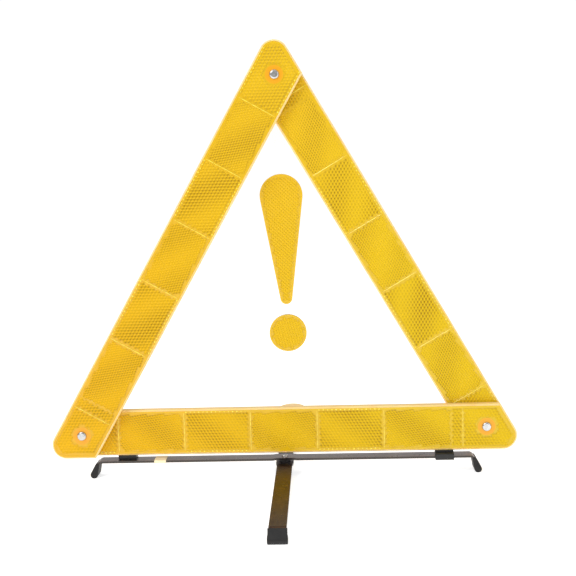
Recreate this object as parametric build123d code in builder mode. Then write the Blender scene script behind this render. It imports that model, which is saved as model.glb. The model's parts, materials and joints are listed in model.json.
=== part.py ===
from build123d import *

import os
from math import cos, radians, sin, sqrt, tan

# Folding warning triangle with an exclamation mark, standing on a folding cross of two steel strips.
#
# Millimetres, +Z up, origin on the floor under the centre of the stand. The lenses look along -Y.
# The three bars are one moulding used three times. They lie in three layers, so that the left arm folds down
# in front of the bottom bar and the right arm behind it, with the mark behind the right arm.

# ---------------------------------------------------------------- driving dimensions

PITCH = 378.0            # between the rivet centres of one bar
OUTER_EDGE = 22.0        # rivet line to a bar's outer edge
INNER_EDGE = 21.4        # rivet line to a bar's inner edge
BAR_DEPTH = 8.0          # front face to back face
CORNER_RADIUS = 13.2     # rounded corner at each end of a bar's outer edge
LAYER_GAP = 1.0          # air between neighbouring bars
RIVET_LINE_Z = 42.8      # height of the two lower rivets over the floor
APEX_SHIFT = 4.5         # how far each arm leans towards the other at the apex

LENS_INSET = 1.5         # rim of the shell left round the lens
LENS_DEPTH = 1.8
LENS_CHAMFER = 0.3
RIM_CHAMFER = 1.1
SHELL_FILLET = 0.9       # round a shell's back edge
WALL = 1.4               # ledge under the lens, and back of a shell
FIELD_RIM = 1.8          # smooth border of the lens round its prism fields
FIELD_RIB = 1.0          # smooth rib between two prism fields
FIELD_SINK = 0.25        # prism fields lie this far under the border
FIELD_LINES = (32.75, 95.25, 157.75, 220.25, 282.75, 356.0)   # ribs, from the start rivet
BOSS_RADIUS = 8.5        # smooth disc round a rivet
STIFFENER_LINES = (64.0, 126.5, 189.0, 251.5, 314.0)
STIFFENER = 1.2

SHANK_RADIUS = 2.0
SHANK_HOLE = 2.2         # hole in a piece that turns on a shank
HEAD_RADIUS = 4.3
HEAD_HEIGHT = 1.9
HEAD_EDGE = 0.3          # upright edge left under a head's dome
TAIL_RADIUS = 3.6
TAIL_HEIGHT = 1.2
TAIL_POCKET_RADIUS = 4.8
TAIL_POCKET_DEPTH = 2.6
RIVET_PLAY = 0.1         # between a rivet's head or tail and the bar that turns under it
WASHER_RADIUS = 6.0
WASHER_DEPTH = 0.6

SOCKET_LIP = 0.4         # flange of the apex socket on the right arm's front
SOCKET_BORE = 1.3        # hole for the snap stud
SOCKET_BORE_DEPTH = 4.0
SOCKET_END_RADIUS = 4.0  # flange behind the mark's carrier
SOCKET_END_DEPTH = 0.9
SOCKET_END_FILLET = 0.5
SOCKET_PLAY = 0.2

STRIP_TOP = 16.2         # upper face of the base strip
STRIP_WIDTH = 14.3
STRIP_THICK = 2.0
STRIP_BEND = 177.0       # centre to where a strip turns down
FOOT_LEAN = 20.0         # a foot's angle from vertical, outwards
FOOT_TIP_Z = 1.6         # end of the steel inside its cap
BEND_RADIUS = 3.0
PAD_HALF = 8.3           # raised pad of the base strip round the centre rivet
PAD_RISE = 0.5
PAD_RAMP = 3.0
PAD_BEND = 2.0
LEG_DROP = 4.0           # upper face of the cross leg under the base strip's
SHOULDER_WIDTH = 16.4    # width of the cross leg at its centre
SHOULDER_HALF = 8.0
SHOULDER_TAPER = 4.0
PIVOT_HOLE = 2.08
PIVOT_HEAD = 3.0         # the centre rivet's radii and heights: domed head above, flat tail below
PIVOT_HEAD_HEIGHT = 1.4
PIVOT_TAIL = 3.4
PIVOT_TAIL_HEIGHT = 1.1
PIVOT_WASHER = 5.2
PIVOT_PLAY = 0.05        # air over and under the cross leg where it turns
BAND_START = -123.0      # pale sleeve on the base strip
BAND_LENGTH = 11.0
BAND_WALL = 0.45

CAP_WIDTH = 16.4
CAP_TOP_WIDTH = 15.5
CAP_TOP_HALF = 1.95      # half thickness of a cap at its mouth
CAP_END_HALF = 3.5       # and at its bulb
CAP_LENGTH = 9.5         # mouth centre to bulb centre, along the foot
CAP_FLARE_FROM = 2.0     # the cap narrows from here over its bulb's centre
CAP_FLARE_SHARE = 0.6    # to this share of its length
CAP_FLAT = 0.25          # the bulb's lowest stretch is cut flat on the floor
CAP_FILLET = 1.0

HOOK_X = 149.5
HOOK_WIDTH = 17.0
HOOK_HEEL = 0.8          # a hook's open side past the bar's middle plane
HOOK_PLAY = 0.3
HOOK_WALL = 1.8
HOOK_JAW = 1.2           # thickness of a hook's jaw under the strip
HOOK_JAW_END = 1.5       # middle plane to the jaw's tip
HOOK_FILLET = 1.0
HOOK_SHOULDER = 1.6      # flat stretch under the bar before a hook's top runs outwards
HOOK_SLOPE = 0.4
STEM_WIDTH = 11.0        # tongue of a hook inside the bar
STEM_DEPTH = 2.8
STEM_OFFSET = 0.7
STEM_HEIGHT = 10.0
STEM_PLAY = 0.15
SCREW_RISE = 6.0         # screws over the bar's lower edge
SCREW_RADIUS = 1.25
SCREW_LENGTH = 5.0
SCREW_BITE = 0.05        # hole in the hook over the screw
SCREW_PLAY = 0.1         # hole in the bar over the screw
SCREW_HEAD = 2.6
SCREW_HEAD_DEPTH = 1.2
SCREW_SLOT = (3.0, 0.6)  # length and both width and depth of the cross slot

MARK_GAP = 0.4           # right arm's back to the mark's front
MARK_LENS = 1.8
MARK_BACK = 2.4
MARK_LENS_FILLET = 0.4
MARK_BACK_FILLET = 0.6
CARRIER_WIDTH = 12.0
CARRIER_DEPTH = 1.6
CARRIER_END = 310.5      # apex rivet to the round end of the clear carrier
SPACER_RADIUS = 5.8
DROP_TOP = 89.0          # apex rivet to the top of the drop
DROP_LENGTH = 121.5
DROP_RADIUS = 19.9
DROP_TIP_RADIUS = 5.6
DOT_RADIUS = 17.5
DOT_GAP = 10.0
MARK_RIM = 1.5
MARK_TURN = 1.4          # the mark hangs this far off the middle line, in degrees
TAB_WIDTH = 22.0         # pale tab at the carrier's lower end
TAB_HEIGHT = 9.0
TAB_ARCH = 2.0           # rise of its arched top
TAB_LIFT = 1.0           # its lower edge over the carrier's
TAB_DEPTH = 1.2

# ---------------------------------------------------------------- derived places

HALF = PITCH / 2
LEAN = APEX_SHIFT / PITCH                      # small angle of an arm out of the vertical plane, in radians
BAR_FRONT = -BAR_DEPTH / 2
LEFT_FRONT = BAR_FRONT - LAYER_GAP - BAR_DEPTH
RIGHT_FRONT = BAR_FRONT + BAR_DEPTH + LAYER_GAP
LEFT_AXIS = Axis((-HALF, 0, RIVET_LINE_Z), (LEAN / 2, 1, -LEAN * sqrt(3) / 2))
RIGHT_AXIS = Axis((HALF, 0, RIVET_LINE_Z), (LEAN / 2, 1, LEAN * sqrt(3) / 2))
CORNER = OUTER_EDGE * sqrt(3)                  # rivet to a bar's sharp outer corner, along the bar
BAR_BOTTOM_Z = RIVET_LINE_Z - OUTER_EDGE
LEG_TOP = STRIP_TOP - LEG_DROP
DROP_END = DROP_TOP + DROP_LENGTH
DOT_CENTRE = DROP_END + DOT_GAP + DOT_RADIUS

os.makedirs("parts", exist_ok=True)


def write(piece, name):
    """Labels a finished piece and writes it as its own node."""
    piece.part.label = name
    export_step(piece.part, f"parts/{name}.step")


def turned(plane, axis, degrees):
    """The plane turned about an axis of the row frame."""
    about = Axis((0, 0, 0), axis.direction)
    return Plane(
        origin=axis.position + (plane.origin - axis.position).rotate(about, degrees),
        x_dir=plane.x_dir.rotate(about, degrees),
        z_dir=plane.z_dir.rotate(about, degrees),
    )


def front_plane(x, y, along):
    """A bar's front face: origin at its start rivet, local x along the bar, local y to its inner edge."""
    return Plane(origin=(x, y, RIVET_LINE_Z), x_dir=(along, 0, 0), z_dir=(0, -1, 0))


BOTTOM_PLANE = front_plane(-HALF, BAR_FRONT, 1)
LEFT_PLANE = turned(front_plane(HALF, LEFT_FRONT, -1), LEFT_AXIS, -60)
RIGHT_PLANE = turned(front_plane(HALF, RIGHT_FRONT, -1), RIGHT_AXIS, 60)
APEX_PLANE = Plane(RIGHT_PLANE.from_local_coords((PITCH, 0, 0)), RIGHT_PLANE.x_dir, RIGHT_PLANE.z_dir)
BEHIND_PLANE = APEX_PLANE.offset(-BAR_DEPTH - MARK_GAP)
MARK_PLANE = turned(BEHIND_PLANE, Axis(BEHIND_PLANE.origin, BEHIND_PLANE.z_dir), 150 + MARK_TURN)

# ---------------------------------------------------------------- the bar moulding


def bar_outline(inset):
    """Face of one bar, a trapezoid with 60 degree ends, with its outer corners rounded, drawn in by inset."""
    low = -OUTER_EDGE + inset
    high = INNER_EDGE - inset
    slant = sqrt(3)
    shift = 2 * inset / slant                  # an end line moved in by inset crosses a level this much later
    left_low = -CORNER + (low + OUTER_EDGE) / slant + shift
    left_high = -CORNER + (high + OUTER_EDGE) / slant + shift
    with BuildSketch() as face:
        with BuildLine():
            Polyline(
                (left_low, low), (PITCH - left_low, low),
                (PITCH - left_high, high), (left_high, high), close=True,
            )
        make_face()
        fillet(face.vertices().group_by(Axis.Y)[0], CORNER_RADIUS - inset)
    return face.sketch


def prism_fields():
    """Faces of the prism fields between a lens's ribs, clear of the discs round its rivets."""
    edges = [-CORNER, *FIELD_LINES, PITCH + CORNER]
    height = OUTER_EDGE + INNER_EDGE
    with BuildSketch() as fields:
        for start, end in zip(edges, edges[1:]):
            middle = ((start + end) / 2, (INNER_EDGE - OUTER_EDGE) / 2)
            with Locations(middle):
                Rectangle(end - start - FIELD_RIB, height)
        add(bar_outline(LENS_INSET + FIELD_RIM), mode=Mode.INTERSECT)
        with Locations((0, 0), (PITCH, 0)):
            Circle(BOSS_RADIUS, mode=Mode.SUBTRACT)
    return fields.sketch


def make_lens(plane):
    """Front lens: a clear plate with sunk prism fields and a hole at each rivet."""
    with BuildPart() as lens:
        with BuildSketch(plane):
            add(bar_outline(LENS_INSET))
        extrude(amount=-LENS_DEPTH)
        chamfer(lens.faces().sort_by(Axis(plane.origin, plane.z_dir))[-1].outer_wire().edges(), LENS_CHAMFER)
        with BuildSketch(plane):
            add(prism_fields())
        extrude(amount=-FIELD_SINK, mode=Mode.SUBTRACT)
        with BuildSketch(plane):
            with Locations((0, 0), (PITCH, 0)):
                Circle(SHANK_HOLE)
        extrude(amount=-LENS_DEPTH, mode=Mode.SUBTRACT)
    return lens


def make_shell(plane, slots=()):
    """Back shell: a shallow tray that holds the lens, with rivet bosses, stiffeners and tail pockets."""
    lens_back = plane.offset(-LENS_DEPTH)
    with BuildPart() as shell:
        with BuildSketch(plane):
            add(bar_outline(0))
        extrude(amount=-BAR_DEPTH)
        outer_face = shell.faces().sort_by(Axis(plane.origin, plane.z_dir))
        chamfer(outer_face[-1].outer_wire().edges(), RIM_CHAMFER)
        back_face = shell.faces().sort_by(Axis(plane.origin, plane.z_dir))[0]
        fillet(back_face.outer_wire().edges(), SHELL_FILLET)
        with BuildSketch(plane):
            add(bar_outline(LENS_INSET))
        extrude(amount=-LENS_DEPTH, mode=Mode.SUBTRACT)
        with BuildSketch(lens_back):
            add(bar_outline(LENS_INSET + WALL))
            with Locations((0, 0), (PITCH, 0)):
                Circle(BOSS_RADIUS, mode=Mode.SUBTRACT)
            with Locations(*[(x, (INNER_EDGE - OUTER_EDGE) / 2) for x in STIFFENER_LINES]):
                Rectangle(STIFFENER, OUTER_EDGE + INNER_EDGE, mode=Mode.SUBTRACT)
        extrude(amount=-(BAR_DEPTH - LENS_DEPTH - WALL), mode=Mode.SUBTRACT)
        with BuildSketch(plane):
            with Locations((0, 0), (PITCH, 0)):
                Circle(SHANK_HOLE)
        extrude(amount=-BAR_DEPTH, mode=Mode.SUBTRACT)
        with BuildSketch(plane.offset(-BAR_DEPTH)):
            with Locations((0, 0), (PITCH, 0)):
                Circle(TAIL_POCKET_RADIUS)
        extrude(amount=TAIL_POCKET_DEPTH, mode=Mode.SUBTRACT)
        for slot in slots:
            add(slot, mode=Mode.SUBTRACT)
    return shell


# ---------------------------------------------------------------- rivets, washers and the apex snap


def make_rivet(plane, grip, tail_sink):
    """Domed rivet: plane is where its head sits and grip the depth from there to the tail pocket's mouth."""
    with BuildPart() as rivet:
        with BuildSketch(plane):
            Circle(SHANK_RADIUS)
        extrude(amount=-(grip - tail_sink))
        tail = plane.offset(-(grip - tail_sink))
        with BuildSketch(tail):
            Circle(TAIL_RADIUS)
        extrude(amount=-TAIL_HEIGHT)
        with BuildSketch(plane):
            Circle(HEAD_RADIUS)
        extrude(amount=HEAD_HEIGHT)
        top = rivet.edges().filter_by(GeomType.CIRCLE).sort_by(Axis(plane.origin, plane.z_dir))[-1]
        fillet(top, HEAD_HEIGHT - HEAD_EDGE)
    return rivet


def make_washer(plane, hole):
    """Flat washer standing on the plane, with its thickness to the front."""
    with BuildPart() as washer:
        with BuildSketch(plane):
            Circle(WASHER_RADIUS)
            Circle(hole, mode=Mode.SUBTRACT)
        extrude(amount=WASHER_DEPTH)
    return washer


def make_apex_stud():
    """Snap stud of the left arm: a domed head at the front, its tail sunk in the arm's back."""
    return make_rivet(LEFT_PLANE, BAR_DEPTH, TAIL_POCKET_DEPTH)


def make_apex_socket():
    """Hollow snap socket of the right arm, which the mark also turns on."""
    reach = BAR_DEPTH + MARK_GAP + MARK_LENS + CARRIER_DEPTH + SOCKET_PLAY
    with BuildPart() as socket:
        with BuildSketch(APEX_PLANE):
            Circle(SHANK_RADIUS)
        extrude(amount=-reach)
        with BuildSketch(APEX_PLANE):
            Circle(TAIL_RADIUS)
        extrude(amount=SOCKET_LIP)
        with BuildSketch(APEX_PLANE.offset(-reach)):
            Circle(SOCKET_END_RADIUS)
        extrude(amount=-SOCKET_END_DEPTH)
        rear = socket.edges().filter_by(GeomType.CIRCLE).sort_by(Axis(APEX_PLANE.origin, APEX_PLANE.z_dir))
        fillet(rear[0], SOCKET_END_FILLET)
        with BuildSketch(APEX_PLANE.offset(SOCKET_LIP)):
            Circle(SOCKET_BORE)
        extrude(amount=-SOCKET_BORE_DEPTH, mode=Mode.SUBTRACT)
    return socket


# ---------------------------------------------------------------- the exclamation mark


def drop_outline(inset):
    """Face of the mark's drop: a wide round head run down to a small round tip."""
    with BuildSketch() as drop:
        with Locations((DROP_TOP + DROP_RADIUS, 0)):
            Circle(DROP_RADIUS - inset)
        with Locations((DROP_END - DROP_TIP_RADIUS, 0)):
            Circle(DROP_TIP_RADIUS - inset)
        make_hull()
    return drop.sketch


def dot_outline(inset):
    """Face of the mark's dot."""
    with BuildSketch() as dot:
        with Locations((DOT_CENTRE, 0)):
            Circle(DOT_RADIUS - inset)
    return dot.sketch


def make_mark_lens(outline):
    """Lens of the drop or the dot, with its prism field sunk inside a smooth rim."""
    with BuildPart() as lens:
        with BuildSketch(MARK_PLANE):
            add(outline(0))
        extrude(amount=-MARK_LENS)
        front = lens.faces().sort_by(Axis(MARK_PLANE.origin, MARK_PLANE.z_dir))[-1]
        fillet(front.outer_wire().edges(), MARK_LENS_FILLET)
        with BuildSketch(MARK_PLANE):
            add(outline(MARK_RIM))
        extrude(amount=-FIELD_SINK, mode=Mode.SUBTRACT)
    return lens


def make_mark_back(outline):
    """Back of the drop or the dot, grooved for the carrier."""
    behind = MARK_PLANE.offset(-MARK_LENS)
    with BuildPart() as back:
        with BuildSketch(behind):
            add(outline(0))
        extrude(amount=-MARK_BACK)
        rear = back.faces().sort_by(Axis(MARK_PLANE.origin, MARK_PLANE.z_dir))[0]
        fillet(rear.outer_wire().edges(), MARK_BACK_FILLET)
        with BuildSketch(behind):
            with Locations((CARRIER_END / 2, 0)):
                Rectangle(CARRIER_END + CARRIER_WIDTH, CARRIER_WIDTH)
        extrude(amount=-CARRIER_DEPTH, mode=Mode.SUBTRACT)
    return back


def make_carrier():
    """Clear strip that hangs from the apex and carries the drop and the dot."""
    with BuildPart() as carrier:
        with BuildSketch(MARK_PLANE.offset(-MARK_LENS)):
            with Locations((CARRIER_END / 2, 0)):
                SlotCenterToCenter(CARRIER_END, CARRIER_WIDTH)
            Circle(PIVOT_HOLE, mode=Mode.SUBTRACT)
        extrude(amount=-CARRIER_DEPTH)
    return carrier


def make_carrier_tab():
    """Pale tab with an arched top, fixed on the front of the carrier's lower end."""
    low = CARRIER_END + CARRIER_WIDTH / 2 - TAB_LIFT
    spring = low - TAB_HEIGHT + TAB_ARCH
    with BuildPart() as tab:
        with BuildSketch(MARK_PLANE.offset(-MARK_LENS)):
            with BuildLine():
                Polyline(
                    (spring, -TAB_WIDTH / 2), (low, -TAB_WIDTH / 2),
                    (low, TAB_WIDTH / 2), (spring, TAB_WIDTH / 2),
                )
                ThreePointArc((spring, TAB_WIDTH / 2), (low - TAB_HEIGHT, 0), (spring, -TAB_WIDTH / 2))
            make_face()
        extrude(amount=TAB_DEPTH)
    return tab


def make_mark_spacer():
    """Sleeve on the apex socket that keeps the carrier off the right arm's back."""
    with BuildPart() as spacer:
        with BuildSketch(MARK_PLANE):
            Circle(SPACER_RADIUS)
            Circle(PIVOT_HOLE, mode=Mode.SUBTRACT)
        extrude(amount=-MARK_LENS)
    return spacer


# ---------------------------------------------------------------- the stand


def strip_profile(top, pad):
    """Side view of half a strip: its upper line out from the centre and down the foot, thickened below."""
    tip_x = STRIP_BEND + (top - FOOT_TIP_Z) * tan(radians(FOOT_LEAN))
    points = [(STRIP_BEND, top), (tip_x, FOOT_TIP_Z)]
    radii = [BEND_RADIUS + STRIP_THICK]
    if pad:
        points = [(0, top + PAD_RISE), (PAD_HALF, top + PAD_RISE), (PAD_HALF + PAD_RAMP, top), *points]
        radii = [PAD_BEND, PAD_BEND, *radii]
    else:
        points = [(0, top), *points]
    with BuildSketch() as profile:
        with BuildLine() as line:
            FilletPolyline(*points, radius=radii)
            offset(amount=STRIP_THICK, side=Side.RIGHT)
        make_face(line.edges())
    return profile.sketch


def make_strip(along, top, pad, shoulder, hole):
    """Bent flat strip through the centre of the stand. along is the plane of its side view."""
    with BuildPart() as strip:
        with BuildSketch(along):
            add(strip_profile(top, pad))
        extrude(amount=STRIP_WIDTH / 2, both=True)
        mirror(about=Plane(origin=(0, 0, 0), z_dir=along.x_dir))
        if shoulder:
            end = SHOULDER_HALF + SHOULDER_TAPER
            wide, narrow = shoulder / 2, STRIP_WIDTH / 2
            with BuildSketch(Plane(origin=(0, 0, top), x_dir=along.x_dir, z_dir=(0, 0, 1))):
                with BuildLine():
                    Polyline(
                        (-end, narrow), (-SHOULDER_HALF, wide), (SHOULDER_HALF, wide), (end, narrow),
                        (end, -narrow), (SHOULDER_HALF, -wide), (-SHOULDER_HALF, -wide), (-end, -narrow),
                        close=True,
                    )
                make_face()
            extrude(amount=-STRIP_THICK)
        with BuildSketch(Plane.XY.offset(top + 2 * PAD_RISE)):
            Circle(hole)
        extrude(amount=-3 * PAD_RISE - STRIP_THICK, mode=Mode.SUBTRACT)
    return strip


def make_foot_cap(along, top, strip, side):
    """Rubber cap on one foot of a strip: a drop in side view, slightly flared in front view."""
    lean = radians(FOOT_LEAN)
    foot_dir = Vector(sin(lean), -cos(lean))
    bulb_z = CAP_END_HALF - CAP_FLAT
    mid_x = STRIP_BEND + (top - bulb_z) * tan(lean) - STRIP_THICK / 2 / cos(lean)
    bulb = Vector(mid_x, bulb_z)
    mouth = bulb - foot_dir * (CAP_LENGTH * (top / STRIP_TOP))
    plane = Plane(origin=(0, 0, 0), x_dir=along.x_dir * side, z_dir=along.z_dir * side)
    facing = Plane(
        origin=plane.from_local_coords((bulb.X, bulb.Y, 0)),
        x_dir=plane.z_dir * -1,
        z_dir=plane.x_dir * cos(lean) + Vector(0, 0, sin(lean)),
    )
    length = (mouth - bulb).length
    with BuildPart() as cap:
        with BuildSketch(plane):
            with Locations((mouth.X, mouth.Y)):
                Circle(CAP_TOP_HALF)
            with Locations((bulb.X, bulb.Y)):
                Circle(CAP_END_HALF)
            make_hull()
        extrude(amount=CAP_WIDTH / 2, both=True)
        sides = cap.faces().filter_by(Plane(plane.origin, plane.x_dir, plane.z_dir))
        fillet(sides.edges(), CAP_FILLET)
        wide, narrow = CAP_WIDTH / 2, CAP_TOP_WIDTH / 2
        above, below = length + 2 * CAP_TOP_HALF, -2 * CAP_END_HALF
        flare = length * CAP_FLARE_SHARE
        with BuildSketch(facing):
            with BuildLine():
                Polyline(
                    (-narrow, above), (narrow, above), (narrow, flare), (wide, CAP_FLARE_FROM),
                    (wide, below), (-wide, below), (-wide, CAP_FLARE_FROM), (-narrow, flare), close=True,
                )
            make_face()
        extrude(amount=2 * CAP_END_HALF, both=True, mode=Mode.INTERSECT)
        split(bisect_by=Plane.XY, keep=Keep.TOP)
        add(strip, mode=Mode.SUBTRACT)
    return cap


def make_hook(side):
    """Hook under the bottom bar. The right one wraps the strip's front edge, the left one its back edge."""
    under = STRIP_TOP - STRIP_THICK - HOOK_PLAY
    reach = STRIP_WIDTH / 2 + HOOK_PLAY
    face = -side                               # -1 wraps the front edge
    with BuildPart() as hook:
        with BuildSketch(Plane.YZ.offset(side * HOOK_X)):
            with BuildLine():
                Polyline(
                    (-face * HOOK_HEEL, BAR_BOTTOM_Z),
                    (face * BAR_DEPTH / 2, BAR_BOTTOM_Z),
                    (face * BAR_DEPTH / 2, BAR_BOTTOM_Z - HOOK_SHOULDER),
                    (face * (reach + HOOK_WALL), BAR_BOTTOM_Z - HOOK_SHOULDER - HOOK_SLOPE),
                    (face * (reach + HOOK_WALL), under - HOOK_JAW),
                    (face * HOOK_JAW_END, under - HOOK_JAW),
                    (face * HOOK_JAW_END, under),
                    (face * reach, under),
                    (face * reach, STRIP_TOP + HOOK_PLAY),
                    (-face * HOOK_HEEL, STRIP_TOP + HOOK_PLAY),
                    close=True,
                )
            make_face()
        extrude(amount=HOOK_WIDTH / 2, both=True)
        long_edges = hook.edges().filter_by(Axis.X)
        fillet(long_edges.filter_by(lambda e: abs(e.center().Y) > reach + HOOK_WALL / 2), HOOK_FILLET)
        add(hook_stem(side, 0))
        add(screw_hole(side, SCREW_RADIUS + SCREW_BITE), mode=Mode.SUBTRACT)
    return hook


def hook_stem(side, play):
    """The tongue of a hook inside the bottom bar, or with play the slot that it goes through."""
    with BuildPart(mode=Mode.PRIVATE) as stem:
        with BuildSketch(Plane.XY.offset(BAR_BOTTOM_Z)):
            with Locations((side * HOOK_X, -side * STEM_OFFSET)):
                Rectangle(STEM_WIDTH + 2 * play, STEM_DEPTH + 2 * play)
        extrude(amount=WALL + LENS_INSET + play if play else STEM_HEIGHT)
    return stem.part


def screw_hole(side, radius):
    """Cylinder along a hook screw's axis."""
    with BuildPart(mode=Mode.PRIVATE) as hole:
        with BuildSketch(Plane.XZ.offset(-BAR_DEPTH / 2)):
            with Locations((side * HOOK_X, BAR_BOTTOM_Z + SCREW_RISE)):
                Circle(radius)
        extrude(amount=SCREW_LENGTH)
    return hole.part


def screw_seat(side):
    """Conical seat for a hook screw's head in the bottom bar's back."""
    with BuildPart(mode=Mode.PRIVATE) as seat:
        with BuildSketch(Plane.XZ.offset(-BAR_DEPTH / 2)):
            with Locations((side * HOOK_X, BAR_BOTTOM_Z + SCREW_RISE)):
                Circle(SCREW_HEAD)
        extrude(amount=SCREW_HEAD_DEPTH, taper=45)
    return seat.part


def make_hook_screws():
    """One countersunk screw for each hook, flush with the bar's back, with a cross slot."""
    length, width = SCREW_SLOT
    with BuildPart() as screws:
        for side in (-1, 1):
            add(screw_seat(side))
            add(screw_hole(side, SCREW_RADIUS))
        for side in (-1, 1):
            with BuildSketch(Plane.XZ.offset(-BAR_DEPTH / 2)):
                with Locations((side * HOOK_X, BAR_BOTTOM_Z + SCREW_RISE)):
                    Rectangle(length, width)
                    Rectangle(width, length)
            extrude(amount=width, mode=Mode.SUBTRACT)
    return screws


def make_stand_rivet():
    """Rivet that joins the two strips, with a low dome on the base strip's pad."""
    seat = STRIP_TOP + PAD_RISE
    foot = LEG_TOP - STRIP_THICK - 2 * PIVOT_PLAY
    with BuildPart() as rivet:
        with BuildSketch(Plane.XY.offset(foot)):
            Circle(SHANK_RADIUS)
        extrude(amount=seat - foot)
        with BuildSketch(Plane.XY.offset(seat)):
            Circle(PIVOT_HEAD)
        extrude(amount=PIVOT_HEAD_HEIGHT)
        fillet(rivet.edges().filter_by(GeomType.CIRCLE).sort_by(Axis.Z)[-1], PIVOT_HEAD_HEIGHT - HEAD_EDGE)
        with BuildSketch(Plane.XY.offset(foot)):
            Circle(PIVOT_TAIL)
        extrude(amount=-PIVOT_TAIL_HEIGHT)
        fillet(rivet.edges().filter_by(GeomType.CIRCLE).sort_by(Axis.Z)[0], PIVOT_TAIL_HEIGHT - HEAD_EDGE)
    return rivet


def make_stand_washer():
    """Spacer between the strips, under the base strip's pad."""
    low = LEG_TOP + PIVOT_PLAY
    with BuildPart() as washer:
        with BuildSketch(Plane.XY.offset(low)):
            Circle(PIVOT_WASHER)
            Circle(SHANK_RADIUS, mode=Mode.SUBTRACT)
        extrude(amount=STRIP_TOP + PAD_RISE - STRIP_THICK - low)
    return washer


def make_strip_band():
    """Thin pale sleeve round the base strip, left of the centre."""
    with BuildPart() as band:
        with BuildSketch(Plane.YZ.offset(BAND_START)):
            with Locations((0, STRIP_TOP - STRIP_THICK / 2)):
                RectangleRounded(STRIP_WIDTH + 2 * BAND_WALL, STRIP_THICK + 2 * BAND_WALL, BAND_WALL * 0.9)
                Rectangle(STRIP_WIDTH, STRIP_THICK, mode=Mode.SUBTRACT)
        extrude(amount=BAND_LENGTH)
    return band


# ---------------------------------------------------------------- build and write

stem_slots = [hook_stem(side, STEM_PLAY) for side in (-1, 1)]
screw_cuts = [screw_hole(side, SCREW_RADIUS + SCREW_PLAY) for side in (-1, 1)]
screw_cuts += [screw_seat(side) for side in (-1, 1)]
write(make_shell(BOTTOM_PLANE, stem_slots + screw_cuts), "bottom_bar_shell")
write(make_shell(LEFT_PLANE), "left_arm_shell")
write(make_shell(RIGHT_PLANE), "right_arm_shell")
for bar, plane in (("bottom_bar", BOTTOM_PLANE), ("left_arm", LEFT_PLANE), ("right_arm", RIGHT_PLANE)):
    write(make_lens(plane), f"{bar}_lens")

lower_left = Plane(origin=(-HALF, 0, RIVET_LINE_Z), x_dir=(1, 0, 0), z_dir=(0, -1, 0))
lower_right = Plane(origin=(HALF, 0, RIVET_LINE_Z), x_dir=(1, 0, 0), z_dir=(0, -1, 0))
grip = 2 * BAR_DEPTH + LAYER_GAP + RIVET_PLAY
write(make_rivet(lower_left.offset(-LEFT_FRONT + RIVET_PLAY), grip, TAIL_POCKET_DEPTH), "lower_left_rivet")
write(make_rivet(lower_right.offset(-BAR_FRONT), grip, TAIL_POCKET_DEPTH), "lower_right_rivet")
write(make_washer(lower_left.offset(-BAR_FRONT), SHANK_RADIUS), "lower_left_washer")
write(make_washer(lower_right.offset(BAR_FRONT - WASHER_DEPTH), SHANK_RADIUS), "lower_right_washer")
write(make_apex_stud(), "apex_stud")
write(make_apex_socket(), "apex_socket")

write(make_carrier(), "mark_carrier")
write(make_carrier_tab(), "carrier_tab")
write(make_mark_spacer(), "mark_spacer")
for name, outline in (("drop", drop_outline), ("dot", dot_outline)):
    write(make_mark_lens(outline), f"mark_{name}_lens")
    write(make_mark_back(outline), f"mark_{name}_back")

base_strip = make_strip(Plane.XZ, STRIP_TOP, True, 0, SHANK_RADIUS)
cross_leg = make_strip(Plane.YZ, LEG_TOP, False, SHOULDER_WIDTH, PIVOT_HOLE)
write(base_strip, "base_strip")
write(cross_leg, "cross_leg")
for name, strip, along, top, side in (
    ("left_foot_cap", base_strip, Plane.XZ, STRIP_TOP, -1),
    ("right_foot_cap", base_strip, Plane.XZ, STRIP_TOP, 1),
    ("front_foot_cap", cross_leg, Plane.YZ, LEG_TOP, -1),
    ("rear_foot_cap", cross_leg, Plane.YZ, LEG_TOP, 1),
):
    write(make_foot_cap(along, top, strip.part, side), name)
write(make_stand_rivet(), "stand_rivet")
write(make_stand_washer(), "stand_washer")
write(make_strip_band(), "strip_band")
for name, side in (("left_hook", -1), ("right_hook", 1)):
    write(make_hook(side), name)
write(make_hook_screws(), "hook_screws")
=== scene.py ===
"""Looks for the folding warning triangle: prism fields in the lenses, materials, light and camera."""

import json
import math

import bpy
from mathutils import Matrix, Vector


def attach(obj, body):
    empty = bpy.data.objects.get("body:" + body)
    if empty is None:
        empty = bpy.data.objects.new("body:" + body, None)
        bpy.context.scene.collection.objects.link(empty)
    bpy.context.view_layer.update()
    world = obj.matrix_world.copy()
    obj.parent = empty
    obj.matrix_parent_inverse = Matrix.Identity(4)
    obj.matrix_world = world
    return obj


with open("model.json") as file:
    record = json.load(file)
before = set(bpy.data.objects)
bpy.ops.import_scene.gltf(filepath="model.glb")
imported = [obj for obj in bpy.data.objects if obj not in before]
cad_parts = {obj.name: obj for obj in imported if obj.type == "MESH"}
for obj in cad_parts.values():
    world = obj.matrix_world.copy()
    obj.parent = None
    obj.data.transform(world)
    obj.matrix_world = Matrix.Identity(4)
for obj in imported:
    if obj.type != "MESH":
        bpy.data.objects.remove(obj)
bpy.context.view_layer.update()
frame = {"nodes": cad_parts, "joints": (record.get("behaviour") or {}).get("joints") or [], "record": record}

# ---------------------------------------------------------------- sizes shared with the CAD, in metres

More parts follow.
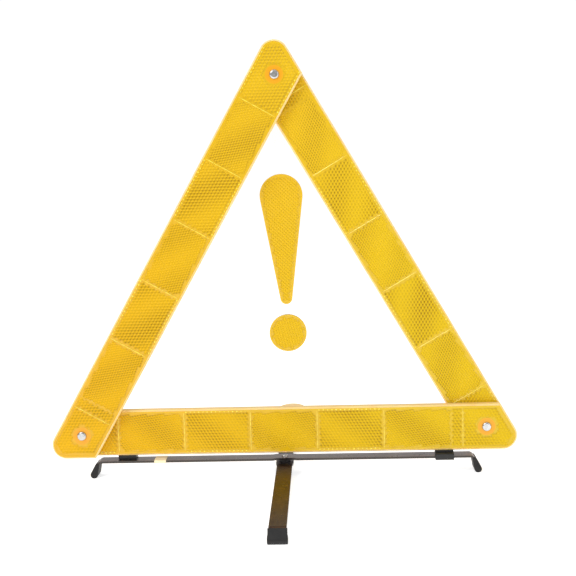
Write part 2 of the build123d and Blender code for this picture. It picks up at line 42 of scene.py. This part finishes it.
PITCH = 0.378            # between the rivet centres of one bar
OUTER_EDGE = 0.022       # rivet line to a bar's outer edge
INNER_EDGE = 0.0214
BAR_DEPTH = 0.008
LAYER_GAP = 0.001
CORNER_RADIUS = 0.0132
BORDER = 0.0033          # bar's edge to its prism fields
RIB = 0.001
RIBS = (0.03275, 0.09525, 0.15775, 0.22025, 0.28275, 0.356)
PATTERN_END = 0.34525    # the last field changes its pattern here, without a rib
BOSS_RADIUS = 0.0085
FIELD_SINK = 0.00025
CORNER = OUTER_EDGE * math.sqrt(3)
HALF = PITCH / 2
RIVETS = {j["name"]: Vector(j["pos_m"]) for j in frame["joints"] if j["type"] == "hinge"}
RIVET_Z = RIVETS["left_arm_fold"].z

DROP_TOP, DROP_LENGTH, DROP_RADIUS, TIP_RADIUS = 0.089, 0.1215, 0.0199, 0.0056
DOT_RADIUS, DOT_GAP, MARK_RIM = 0.0175, 0.010, 0.0015
MARK_TURN = 151.4        # degrees from the folded arm's length to the mark's
ROOT = 0.00003           # relief starts this far under the surface that it grows from

# ---------------------------------------------------------------- camera


def add_camera(place, yaw, pitch, roll, lens):
    """Camera at place, looking along +Y turned by yaw and down by pitch, then rolled; angles in radians."""
    forward = Vector((math.sin(yaw) * math.cos(pitch), math.cos(yaw) * math.cos(pitch), -math.sin(pitch)))
    right = Vector((math.cos(yaw), -math.sin(yaw), 0))
    up = right.cross(forward)
    rolled_right = math.cos(roll) * right + math.sin(roll) * up
    rolled_up = -math.sin(roll) * right + math.cos(roll) * up
    data = bpy.data.cameras.new("camera")
    data.lens, data.sensor_width = lens, 36
    data.clip_start, data.clip_end = 0.01, 50
    camera = bpy.data.objects.new("camera", data)
    turn = Matrix((rolled_right, rolled_up, -forward)).transposed().to_4x4()
    camera.matrix_world = Matrix.Translation(place) @ turn
    bpy.context.scene.collection.objects.link(camera)
    bpy.context.scene.camera = camera


add_camera(Vector((0.0395, -0.9394, 0.2970)), -0.03446, 0.1275, -0.0265, 64.02)

# ---------------------------------------------------------------- light and floor

bpy.context.scene.view_settings.view_transform = "Standard"


def add_area(name, place, target, size, power, colour=(1, 1, 1)):
    data = bpy.data.lights.new(name, "AREA")
    data.shape, data.size, data.size_y = "RECTANGLE", size[0], size[1]
    data.energy, data.color = power, colour
    light = bpy.data.objects.new(name, data)
    light.location = place
    light.rotation_euler = (Vector(target) - Vector(place)).to_track_quat("-Z", "Y").to_euler()
    bpy.context.scene.collection.objects.link(light)


add_area("key", (-1.1, -1.4, 1.7), (0, 0, 0.2), (1.2, 1.2), 24)
add_area("fill", (1.5, -1.2, 0.8), (0, 0, 0.2), (1.2, 1.2), 6)
add_area("top", (0.2, 0.3, 2.2), (0, 0, 0), (1.2, 1.2), 9)

BACKDROP, SURROUND = 1.05, 0.48
world = bpy.data.worlds.new("world")
bpy.context.scene.world = world
world.use_nodes = True
nodes, links = world.node_tree.nodes, world.node_tree.links
seen = nodes.new("ShaderNodeLightPath")
level = nodes.new("ShaderNodeMapRange")
level.inputs["To Min"].default_value, level.inputs["To Max"].default_value = SURROUND, BACKDROP
links.new(seen.outputs["Is Camera Ray"], level.inputs["Value"])
links.new(level.outputs["Result"], nodes["Background"].inputs["Strength"])
nodes["Background"].inputs["Color"].default_value = (1, 1, 1, 1)

# ---------------------------------------------------------------- node helpers


class Mat:
    """A node material around one Principled shader."""

    def __init__(self, name, **values):
        self.mat = bpy.data.materials.new(name)
        self.mat.use_nodes = True
        self.tree = self.mat.node_tree
        self.shader = self.tree.nodes["Principled BSDF"]
        for key, value in values.items():
            self.shader.inputs[key.replace("_", " ")].default_value = value
        places = self.node("ShaderNodeTexCoord").outputs
        self.coords, self.normals = places["Object"], places["Normal"]

    def node(self, kind, inputs=None, **settings):
        made = self.tree.nodes.new(kind)
        for key, value in settings.items():
            setattr(made, key, value)
        for key, value in (inputs or {}).items():
            if isinstance(value, bpy.types.NodeSocket):
                self.tree.links.new(value, made.inputs[key])
            else:
                made.inputs[key].default_value = value
        return made

    def link(self, output, socket):
        self.tree.links.new(output, self.shader.inputs[socket])

    def noise(self, scale, detail=4, rough=0.55, stretch=None):
        vector = self.coords
        if stretch:
            vector = self.node("ShaderNodeMapping", {"Vector": vector, "Scale": stretch}).outputs[0]
        made = self.node(
            "ShaderNodeTexNoise", {"Vector": vector, "Scale": scale, "Detail": detail, "Roughness": rough})
        return made.outputs["Fac"]

    def ramp(self, fac, stops):
        made = self.node("ShaderNodeValToRGB", {"Fac": fac})
        elements = made.color_ramp.elements
        while len(elements) < len(stops):
            elements.new(0.5)
        for element, (place, colour) in zip(elements, stops):
            element.position = place
            element.color = (*colour, 1) if len(colour) == 3 else colour
        return made.outputs["Color"]

    def span(self, value, low, high, to_low=0.0, to_high=1.0):
        made = self.node("ShaderNodeMapRange", {
            "Value": value, "From Min": low, "From Max": high, "To Min": to_low, "To Max": to_high})
        return made.outputs["Result"]

    def mix(self, fac, first, second, blend="MIX"):
        made = self.tree.nodes.new("ShaderNodeMix")
        made.data_type, made.blend_type = "RGBA", blend
        for socket, value in ((made.inputs[0], fac), (made.inputs[6], first), (made.inputs[7], second)):
            if isinstance(value, bpy.types.NodeSocket):
                self.tree.links.new(value, socket)
            else:
                socket.default_value = value if not isinstance(value, tuple) else (*value, 1)
        return made.outputs[2]

    def bump(self, height, distance, strength=1.0):
        made = self.node("ShaderNodeBump", {"Height": height, "Distance": distance, "Strength": strength})
        self.link(made.outputs["Normal"], "Normal")

    def axis(self, index):
        return self.node("ShaderNodeSeparateXYZ", {"Vector": self.coords}).outputs[index]


LEMON = (0.73, 0.49, 0.006)
WARM = (0.77, 0.43, 0.006)
# painted shade colours below: broad patches and darker facets take the first, the sunk cell centres the
# second
SHADE = (0.55, 0.33, 0.003)
RECESS_SHADE = (0.25, 0.13, 0.001)
BEAD = (0.98, 0.80, 0.07)
RING = (0.86, 0.35, 0.008)


def yellow(name, prisms):
    """Clear yellow reflector plastic, warmer to the left, with painted shade in broad lighter and darker
    patches that stand in for the prisms' reflections; prism faces also get painted shade per facet and in
    their sunk centres.
    """
    if prisms:
        m = Mat(name, Roughness=0.38, Specular_IOR_Level=0.18)
    else:
        m = Mat(name, Roughness=0.18, Specular_IOR_Level=0.4, Coat_Weight=0.15, Coat_Roughness=0.06)
    warm = m.span(m.axis("X"), -0.20, 0.12, 1.0, 0.0)
    colour = m.mix(warm, LEMON, WARM)
    # painted shade: noise for broad darker patches, standing in for the surroundings' reflection in the
    # prisms
    cloud = m.noise(16, 3, 0.5)
    shade_cloud_mask = m.span(cloud, 0.42, 0.68)
    if prisms:
        # painted shade weights from the mesh: one per facet, one for the sunk cell centres
        facet_shade = m.node("ShaderNodeAttribute", attribute_name="facet_shade").outputs["Fac"]
        sunk = m.node("ShaderNodeAttribute", attribute_name="sunk").outputs["Fac"]
        # painted shade patches, stronger on the darker facets
        painted_shade_clouds = m.node("ShaderNodeMath", {0: shade_cloud_mask, 1: facet_shade}, operation="MULTIPLY").outputs[0]
        # painted shade in the recesses: darker towards each sunk cell centre, stronger on the darker facets
        depth = m.span(sunk, 0.1, 0.8, 0.45, 1.0)
        spots = m.node("ShaderNodeMath", {0: depth, 1: facet_shade}, operation="MULTIPLY").outputs[0]
        colour = m.mix(painted_shade_clouds, colour, SHADE)
        colour = m.mix(spots, colour, RECESS_SHADE)
    else:
        # painted shade on the smooth lens: broad darker patches from the same noise
        colour = m.mix(m.span(cloud, 0.3, 0.8, 0.0, 0.25), colour, SHADE)
        for rivet in ("left_arm_fold", "right_arm_fold", "mark_swing"):
            flat = {0: m.coords, 1: (1, 0, 1)}
            column = m.node("ShaderNodeVectorMath", flat, operation="MULTIPLY").outputs[0]
            ends = {0: column, 1: (RIVETS[rivet].x, 0, RIVETS[rivet].z)}
            away = m.node("ShaderNodeVectorMath", ends, operation="DISTANCE").outputs["Value"]
            ring = m.span(away, BOSS_RADIUS, BOSS_RADIUS - 0.0008, 0.0, 0.85)
            colour = m.mix(ring, colour, RING)
    m.link(colour, "Base Color")
    m.bump(m.noise(900, 2), 0.00002, 0.4)
    return m.mat


def make_materials():
    made = {"yellow_lens": yellow("yellow_lens", False), "yellow_prisms": yellow("yellow_prisms", True)}

    m = Mat("yellow_bead", Roughness=0.15, IOR=1.49, Coat_Weight=0.3, Coat_Roughness=0.05)
    m.link(m.mix(m.span(m.noise(300, 3), 0.35, 0.7), BEAD, LEMON), "Base Color")
    m.bump(m.noise(900, 2), 0.00002, 0.4)
    made["yellow_bead"] = m.mat

    m = Mat("orange_shell", Roughness=0.35, Subsurface_Weight=0.25, Subsurface_Scale=0.004, IOR=1.49)
    m.shader.inputs["Subsurface Radius"].default_value = (1.0, 0.5, 0.1)
    m.link(m.ramp(m.noise(30, 4), [(0.35, (0.94, 0.60, 0.19)), (0.65, (0.98, 0.70, 0.30))]), "Base Color")
    m.bump(m.noise(700, 3), 0.00003, 0.5)
    made["orange_shell"] = m.mat

    m = Mat("bright_steel", Metallic=1.0)
    m.link(m.ramp(m.noise(160, 5), [(0.3, (0.45, 0.45, 0.44)), (0.7, (0.68, 0.68, 0.67))]), "Base Color")
    m.link(m.span(m.noise(420, 4), 0.2, 0.8, 0.10, 0.30), "Roughness")
    m.bump(m.noise(500, 3), 0.00002, 0.3)
    made["bright_steel"] = m.mat

    m = Mat("strip_steel", Metallic=1.0, Anisotropic=0.3)
    patches = m.noise(60, 5, 0.6)
    rail = m.ramp(patches, [(0.3, (0.32, 0.275, 0.265)), (0.7, (0.40, 0.350, 0.340))])
    # painted reflection and shade: beyond the rail's width the steel turns dark brown, standing in for the
    # yellow bars' reflection and the shade under the strip
    brown_reflection_shade = m.ramp(patches, [(0.3, (0.055, 0.031, 0.022)), (0.7, (0.080, 0.048, 0.036))])
    reach = m.node("ShaderNodeMath", {0: m.axis("Y")}, operation="ABSOLUTE").outputs[0]
    upper = m.mix(m.span(reach, 0.0085, 0.014), rail, brown_reflection_shade)
    # painted shade: faces that do not face up, the sides and bottom, are darkened
    facing_up = m.node("ShaderNodeSeparateXYZ", {"Vector": m.normals}).outputs["Z"]
    m.link(m.mix(m.span(facing_up, 0.1, 0.8), (0.075, 0.068, 0.065), upper), "Base Color")
    m.link(m.span(m.noise(260, 4), 0.2, 0.8, 0.24, 0.36), "Roughness")
    m.bump(m.noise(800, 4), 0.00003, 0.4)
    made["strip_steel"] = m.mat

    m = Mat("black_rubber", IOR=1.45)
    stops = [(0.3, (0.004, 0.004, 0.004)), (0.75, (0.012, 0.011, 0.011))]
    m.link(m.ramp(m.noise(120, 5), stops), "Base Color")
    m.link(m.span(m.noise(300, 4), 0.2, 0.8, 0.45, 0.65), "Roughness")
    m.bump(m.noise(1500, 3), 0.00005, 0.5)
    made["black_rubber"] = m.mat

    m = Mat("black_plastic")
    stops = [(0.3, (0.006, 0.006, 0.006)), (0.7, (0.014, 0.014, 0.014))]
    m.link(m.ramp(m.noise(150, 4), stops), "Base Color")
    m.link(m.span(m.noise(260, 3), 0.2, 0.8, 0.32, 0.46), "Roughness")
    m.bump(m.noise(1800, 2), 0.00004, 0.4)
    made["black_plastic"] = m.mat

    m = Mat("pale_plastic", Roughness=0.35)
    m.link(m.ramp(m.noise(180, 4), [(0.35, (0.90, 0.76, 0.46)), (0.65, (0.95, 0.86, 0.62))]), "Base Color")
    m.bump(m.noise(900, 3), 0.00003, 0.4)
    made["pale_plastic"] = m.mat

    m = Mat("clear_plastic", Alpha=0.07, IOR=1.3)
    m.link(m.ramp(m.noise(40, 3), [(0.3, (0.95, 0.95, 0.94)), (0.7, (1.0, 1.0, 1.0))]), "Base Color")
    m.link(m.span(m.noise(90, 3), 0.2, 0.8, 0.03, 0.12), "Roughness")
    made["clear_plastic"] = m.mat

    m = Mat("floor", Roughness=0.9, Emission_Strength=0.62)
    m.shader.inputs["Emission Color"].default_value = (1, 1, 1, 1)
    m.link(m.ramp(m.noise(3, 3), [(0.3, (0.90, 0.90, 0.90)), (0.7, (0.93, 0.93, 0.93))]), "Base Color")
    made["floor"] = m.mat
    return made


MATERIALS = make_materials()
NODE_SLOT = {s["node"]: s["material_slot"] for s in frame["record"]["subparts"]}
for node_name, node_object in frame["nodes"].items():
    for material_slot in node_object.material_slots:
        material_slot.material = MATERIALS[NODE_SLOT[node_name]]

floor_mesh = bpy.data.meshes.new("floor")
FLOOR = 8.0              # half the floor's side
corners = [(-FLOOR, -FLOOR, 0), (FLOOR, -FLOOR, 0), (FLOOR, FLOOR, 0), (-FLOOR, FLOOR, 0)]
floor_mesh.from_pydata(corners, [], [(0, 1, 2, 3)])
floor_mesh.materials.append(MATERIALS["floor"])
floor = bpy.data.objects.new("floor", floor_mesh)
bpy.context.scene.collection.objects.link(floor)

# ---------------------------------------------------------------- bar planes


class Place:
    """A front face in space: its origin, local x and y directions and outward normal."""

    def __init__(self, origin, along, across, normal):
        self.origin, self.along, self.across, self.normal = map(Vector, (origin, along, across, normal))

    def point(self, x, y, height):
        return self.origin + x * self.along + y * self.across + height * self.normal

    def turned(self, about, axis, degrees):
        turn = Matrix.Rotation(math.radians(degrees), 3, Vector(axis))
        origin = Vector(about) + turn @ (self.origin - Vector(about))
        return Place(origin, turn @ self.along, turn @ self.across, turn @ self.normal)


def joint(name):
    return next(j for j in frame["joints"] if j["name"] == name)


BOTTOM = Place((-HALF, -BAR_DEPTH / 2, RIVET_Z), (1, 0, 0), (0, 0, 1), (0, -1, 0))
folded = {}
for arm, layer in (("left_arm", -1.5 * BAR_DEPTH - LAYER_GAP), ("right_arm", BAR_DEPTH / 2 + LAYER_GAP)):
    hinge = joint(f"{arm}_fold")
    flat = Place((HALF, layer, RIVET_Z), (-1, 0, 0), (0, 0, -1), (0, -1, 0))
    folded[arm] = flat.turned(hinge["pos_m"], hinge["axis"], -60)
LEFT, RIGHT = folded["left_arm"], folded["right_arm"]
swing = joint("mark_swing")
turn = Matrix.Rotation(math.radians(MARK_TURN), 3, RIGHT.normal)
MARK = Place(swing["pos_m"], turn @ RIGHT.along, turn @ RIGHT.across, RIGHT.normal)

# ---------------------------------------------------------------- prism fields


def in_bar(x, y, margin):
    """True where a point of a bar's face is at least margin inside its outline and off its rivet bosses."""
    if not -OUTER_EDGE + margin <= y <= INNER_EDGE - margin:
        return False
    for end in (x, PITCH - x):
        reach, rise = end + CORNER, y + OUTER_EDGE
        if reach * math.sqrt(3) / 2 - rise / 2 < margin:
            return False
        centre = CORNER_RADIUS * math.sqrt(3)
        if reach < centre and reach / 2 + rise * math.sqrt(3) / 2 < centre:
            if math.hypot(reach - centre, rise - CORNER_RADIUS) > CORNER_RADIUS - margin:
                return False
        if math.hypot(end, y) < BOSS_RADIUS:
            return False
    return True


def hex_cells(x0, x1, y0, y1, pitch, degrees, inside):
    """Hexagon cells of a turned lattice whose centre and corners all pass the test: (centre, six corners)."""
    radius = pitch / math.sqrt(3)
    turn = math.radians(degrees)
    c, s = math.cos(turn), math.sin(turn)
    mid = ((x0 + x1) / 2, (y0 + y1) / 2)
    reach = math.hypot(x1 - x0, y1 - y0) / 2 + pitch
    rows = int(reach / (1.5 * radius)) + 1
    columns = int(reach / pitch) + 1
    for row in range(-rows, rows + 1):
        for column in range(-columns, columns + 1):
            u = (column + 0.5 * (row % 2)) * pitch
            v = row * 1.5 * radius
            ring = [(u + radius * math.sin(math.radians(60 * k)), v + radius * math.cos(math.radians(60 * k)))
                    for k in range(6)]
            moved = [(mid[0] + c * p - s * q, mid[1] + s * p + c * q) for p, q in [(u, v)] + ring]
            if all(x0 <= p <= x1 and y0 <= q <= y1 and inside(p, q) for p, q in moved):
                yield moved[0], moved[1:]


RHOMB_SHADES = (1.0, 0.45, 0.1)          # painted shade: the faces of a cube corner catch the light differently, so each rhomb is darkened by its own amount
# painted shade: the four faces of a sunk pyramid are darkened by their own amounts, as they catch the light
# differently
PYRAMID_SHADES = (0.9, 0.3, 0.0, 0.3)


class Relief:
    """Mesh of cube-corner cells on one face: each cell is three rhombs that meet at its sunk centre."""

    def __init__(self, name, place, depth, material="yellow_prisms"):
        self.name, self.place, self.depth, self.material = name, place, depth, material
        self.points, self.sunk, self.index, self.faces, self.facet_shades = [], [], {}, [], []

    def vertex(self, x, y, height, sunk=0.0):
        key = (round(x * 1e7), round(y * 1e7), round(height * 1e7))
        if key not in self.index:
            self.index[key] = len(self.points)
            self.points.append(self.place.point(x, y, height))
            self.sunk.append(sunk)
        return self.index[key]

    def field(self, box, pitch, degrees, facet_shade, inside, floor=-FIELD_SINK - ROOT):
        for centre, ring in hex_cells(*box, pitch, degrees, inside):
            # painted shade for this cell: the field's level, varied from cell to cell, then darker or lighter
            # per rhomb below
            shade = facet_shade * (0.65 + 0.35 * math.sin(90 * centre[0] + 110 * centre[1] + 40 * box[0]))
            # the sunk centre gets full weight for the painted shade in the cell's recess
            hub = self.vertex(*centre, floor, 1.0)
            rises = [floor + self.depth * (0.5 if k % 2 else 1.0) for k in range(6)]
            rim = [self.vertex(*p, rise) for p, rise in zip(ring, rises)]
            for k in (1, 3, 5):
                self.faces.append((hub, rim[k], rim[(k - 1) % 6], rim[(k - 2) % 6]))
                self.facet_shades.append(shade * RHOMB_SHADES[k // 2])

    def dome(self, x, y, radius, height):
        """A low eight-sided dome on the lens's border."""
        top = self.vertex(x, y, height)
        rings = []
        for share, rise in ((0.6, 0.75), (1.0, -0.1)):
            turns = [math.tau * k / 8 for k in range(8)]
            size = share * radius
            rings.append([
                self.vertex(x + size * math.cos(a), y + size * math.sin(a), height * rise) for a in turns])
        for k in range(8):
            self.faces.append((top, rings[0][k], rings[0][(k + 1) % 8]))
            self.faces.append((rings[0][k], rings[1][k], rings[1][(k + 1) % 8], rings[0][(k + 1) % 8]))

    def bead(self, x, y0, y1, radius, steps=12):
        """A half-round bead across the bar, slightly wavy, closed at its ends."""
        profile = [math.radians(a) for a in (0, 36, 72, 108, 144, 180)]
        rows = []
        for k in range(steps + 1):
            y = y0 + (y1 - y0) * k / steps
            swell = radius * (0.35 if k in (0, steps) else 1 + 0.12 * math.sin(2.4 * k + 40 * x))
            rows.append([self.vertex(x + swell * math.cos(a), y, swell * math.sin(a) * 0.8 - ROOT)
                         for a in profile])
        for low, high in zip(rows, rows[1:]):
            for k in range(len(profile) - 1):
                self.faces.append((low[k], high[k], high[k + 1], low[k + 1]))
        self.faces.append(tuple(rows[0]))
        self.faces.append(tuple(reversed(rows[-1])))

    def build(self, body):
        mesh = bpy.data.meshes.new(self.name)
        mesh.from_pydata([tuple(p) for p in self.points], [], self.faces)
        if self.facet_shades:
            # the face attribute weights painted shade per facet; the point attribute weights painted shade in
            # the sunk cell centres
            mesh.attributes.new("facet_shade", "FLOAT", "FACE").data.foreach_set("value", self.facet_shades)
            mesh.attributes.new("sunk", "FLOAT", "POINT").data.foreach_set("value", self.sunk)
        mesh.materials.append(MATERIALS[self.material])
        outward = sum(p.normal.dot(self.place.normal) for p in mesh.polygons)
        if outward < 0:
            mesh.flip_normals()
        piece = bpy.data.objects.new(self.name, mesh)
        bpy.context.scene.collection.objects.link(piece)
        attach(piece, body)
        return piece


COARSE, FINE = 0.0031, 0.0025
# painted shade level of each prism field: alternate fields are darker or brighter as the prisms reflect the
# surroundings differently
FIELD_SHADES = (0.65, 0.85, 0.95, 0.65, 0.95, 0.8, 0.8, 0.6)
DOT_STEP = 0.004         # between the small domes along a bar's border
DOT_INSET = 0.0005
DOT_SIZE = (0.0008, 0.00025)    # radius and height
BAR_CELL_DEPTH, MARK_CELL_DEPTH = 0.00048, 0.00045
MARK_CELL = 0.0024
BEAD_RADIUS = 0.0004
edges = [-CORNER, *RIBS[:-1], PATTERN_END, RIBS[-1], PITCH + CORNER]
for bar, place in (("bottom_bar", BOTTOM), ("left_arm", LEFT), ("right_arm", RIGHT)):
    relief = Relief(f"{bar}_prisms", place, BAR_CELL_DEPTH)
    beads = Relief(f"{bar}_beads", place, 0, "yellow_bead")
    for number, (start, end) in enumerate(zip(edges, edges[1:])):
        coarse = number % 2 == 0 or end > PITCH
        low = start if start == PATTERN_END else start + RIB / 2
        high = end if end == PATTERN_END else end - RIB / 2
        relief.field(
            (low, high, -OUTER_EDGE, INNER_EDGE), COARSE if coarse else FINE, 0 if coarse else 8,
            FIELD_SHADES[number], lambda x, y: in_bar(x, y, BORDER))
        if number % 2 == 0 and end - start > 4 * DOT_STEP:
            for k in range(int((end - start) / DOT_STEP)):
                x = start + (k + 0.5) * DOT_STEP
                for y in (INNER_EDGE - BORDER + DOT_INSET, -OUTER_EDGE + BORDER - DOT_INSET):
                    if in_bar(x, y, BORDER - 0.0011):
                        beads.dome(x, y, *DOT_SIZE)
    for x in RIBS:
        beads.bead(x, -OUTER_EDGE + BORDER, INNER_EDGE - BORDER, BEAD_RADIUS)
    relief.build(bar)
    beads.build(bar)

DROP_HEAD = DROP_TOP + DROP_RADIUS
DROP_TIP = DROP_TOP + DROP_LENGTH - TIP_RADIUS
DOT_CENTRE = DROP_TOP + DROP_LENGTH + DOT_GAP + DOT_RADIUS


def in_drop(x, y):
    """True inside the drop's sunk field."""
    slope = math.asin((DROP_RADIUS - TIP_RADIUS) / (DROP_TIP - DROP_HEAD))
    along = (x - DROP_HEAD) - abs(y) * math.tan(slope)
    share = min(1.0, max(0.0, along / (DROP_TIP - DROP_HEAD)))
    centre = DROP_HEAD + share * (DROP_TIP - DROP_HEAD)
    radius = DROP_RADIUS + share * (TIP_RADIUS - DROP_RADIUS)
    return math.hypot(x - centre, y) < radius - MARK_RIM


def in_dot(x, y):
    return math.hypot(x - DOT_CENTRE, y) < DOT_RADIUS - MARK_RIM


def pyramids(relief, box, pitch, degrees, facet_shade, inside):
    """Square sunk pyramids on a turned grid, which read as two sets of crossing lines."""
    x0, x1, y0, y1 = box
    mid = ((x0 + x1) / 2, (y0 + y1) / 2)
    c, s = math.cos(math.radians(degrees)), math.sin(math.radians(degrees))
    count = int(math.hypot(x1 - x0, y1 - y0) / pitch / 2) + 1
    floor = -FIELD_SINK - ROOT
    for i in range(-count, count + 1):
        for j in range(-count, count + 1):
            spots = [(i, j), (i - 0.5, j - 0.5), (i + 0.5, j - 0.5), (i + 0.5, j + 0.5), (i - 0.5, j + 0.5)]
            spots = [(mid[0] + pitch * (c * u - s * v), mid[1] + pitch * (s * u + c * v)) for u, v in spots]
            if all(inside(*p) for p in spots):
                hub = relief.vertex(*spots[0], floor, 1.0)
                ring = [relief.vertex(*p, floor + relief.depth) for p in spots[1:]]
                # painted shade per pyramid face
                for k, share in enumerate(PYRAMID_SHADES):
                    relief.faces.append((hub, ring[k], ring[(k + 1) % 4]))
                    relief.facet_shades.append(facet_shade * share)


drop_box = (DROP_TOP, DROP_TOP + DROP_LENGTH, -DROP_RADIUS, DROP_RADIUS)
dot_box = (DOT_CENTRE - DOT_RADIUS, DOT_CENTRE + DOT_RADIUS, -DOT_RADIUS, DOT_RADIUS)
# each entry: part, box, lattice turn in degrees, painted shade level of its faces, test for inside
reflectors = (("drop", drop_box, 45, 0.4, in_drop), ("dot", dot_box, 12, 0.3, in_dot))
for part, box, degrees, facet_shade, inside in reflectors:
    relief = Relief(f"mark_{part}_prisms", MARK, MARK_CELL_DEPTH)
    pyramids(relief, box, MARK_CELL, degrees, facet_shade, inside)
    relief.build("mark")
